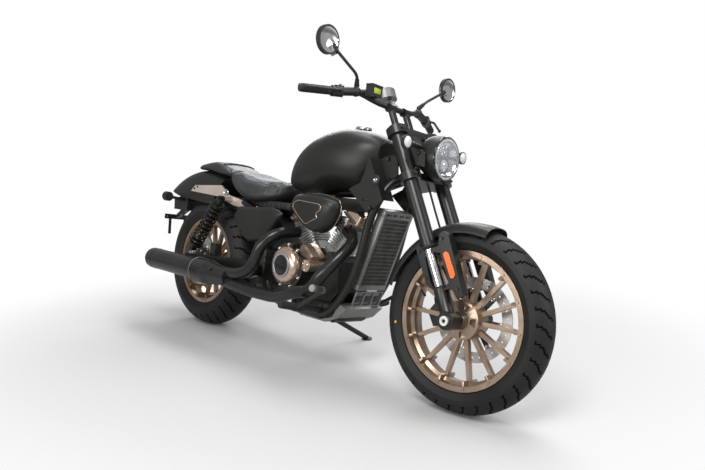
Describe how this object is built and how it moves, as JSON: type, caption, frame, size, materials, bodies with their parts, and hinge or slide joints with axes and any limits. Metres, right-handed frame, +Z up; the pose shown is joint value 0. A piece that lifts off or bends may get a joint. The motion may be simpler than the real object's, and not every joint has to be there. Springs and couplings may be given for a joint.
{
  "type": "cruiser motorcycle",
  "caption": "Low cruiser motorcycle with a finned V-twin engine, cast spoked wheels, round headlight and twin rear shocks, leaning on its side stand.",
  "frame": {"origin": "ground point below the middle of the bounding box", "axes": "+X towards the front wheel, +Y to the rider's left, +Z up"},
  "size_m": [2.2664, 0.8913, 1.3282],
  "materials": {
    "dark_paint": "matt",
    "bronze_alloy": "satin anodised",
    "bare_alloy": "satin",
    "bright_steel": "polished",
    "dark_exhaust": "heat-resistant satin",
    "black_plastic": "matt",
    "tyre_rubber": "matt",
    "soft_rubber": "ribbed",
    "alloy_pulley": "dark anodised",
    "two_tone_leather": "stitched",
    "lens": "clear",
    "orange_reflector": "prismatic"
  },
  "bodies": {
    "chassis": {"main_frame": "dark_paint", "head_panels": "dark_paint", "swingarm": "dark_paint", "rear_axle": "bright_steel", "rear_shocks": "dark_paint", "fuel_tank": "dark_paint", "fuel_cap": "dark_paint", "rider_seat": "two_tone_leather", "pillion_seat": "two_tone_leather", "rear_fender": "dark_paint", "fender_struts": "bronze_alloy", "side_covers": "dark_paint", "battery_box": "black_plastic", "crankcase": "dark_paint", "clutch_cover": "bronze_alloy", "left_engine_cover": "bronze_alloy", "pump_cover": "bronze_alloy", "cylinders": "bare_alloy", "head_covers": "bronze_alloy", "air_cleaner": "black_plastic", "exhaust_headers": "dark_exhaust", "muffler": "dark_exhaust", "radiator": "bare_alloy", "belly_pan": "black_plastic", "foot_controls": "bright_steel", "tail_lamps": "black_plastic", "plate_bracket": "dark_paint", "drive_belt": "soft_rubber", "rear_caliper": "bare_alloy"},
    "steering": {"fork_tubes": "bare_alloy", "fork_sliders": "bright_steel", "axle_clamps": "bare_alloy", "front_axle": "bright_steel", "fork_guards": "dark_paint", "fork_reflectors": "orange_reflector", "triple_clamps": "bare_alloy", "handlebar": "bright_steel", "grips": "soft_rubber", "headlight_shell": "dark_paint", "headlight_lens": "lens", "headlight_brackets": "dark_paint", "front_signals": "lens", "mirrors": "black_plastic", "gauge": "black_plastic", "front_fender": "dark_paint", "front_caliper": "bare_alloy", "hand_controls": "black_plastic", "brake_hose": "soft_rubber"},
    "front_wheel": {"front_tyre": "tyre_rubber", "front_rim": "bronze_alloy", "front_disc": "bright_steel", "front_disc_carrier": "bright_steel"},
    "rear_wheel": {"rear_tyre": "tyre_rubber", "rear_rim": "bronze_alloy", "rear_disc": "bright_steel", "rear_disc_carrier": "bright_steel", "rear_pulley": "alloy_pulley"},
    "side_stand": {"side_stand": "dark_paint"}
  },
  "joints": [
    {"name": "steering_turn", "type": "hinge", "parent": "chassis", "child": "steering", "pos_m": [0.77238, -0.13071, 0.29542], "axis": [-0.4695, 0.1488, 0.8703], "range_deg": [-37.6, 32.4]},
    {"name": "front_wheel_spin", "type": "hinge", "parent": "steering", "child": "front_wheel", "pos_m": [0.81296, -0.12502, 0.31633], "axis": [-0.0401, 0.9811, -0.1893], "continuous": true},
    {"name": "rear_wheel_spin", "type": "hinge", "parent": "chassis", "child": "rear_wheel", "pos_m": [-0.717, -0.12734, 0.31519], "axis": [0, 0.9857, -0.1685], "continuous": true},
    {"name": "side_stand_fold", "type": "hinge", "parent": "chassis", "child": "side_stand", "pos_m": [-0.00555, -0.02845, 0.15778], "axis": [0, 0.5688, 0.8224], "range_deg": [0, 88]}
  ]
}
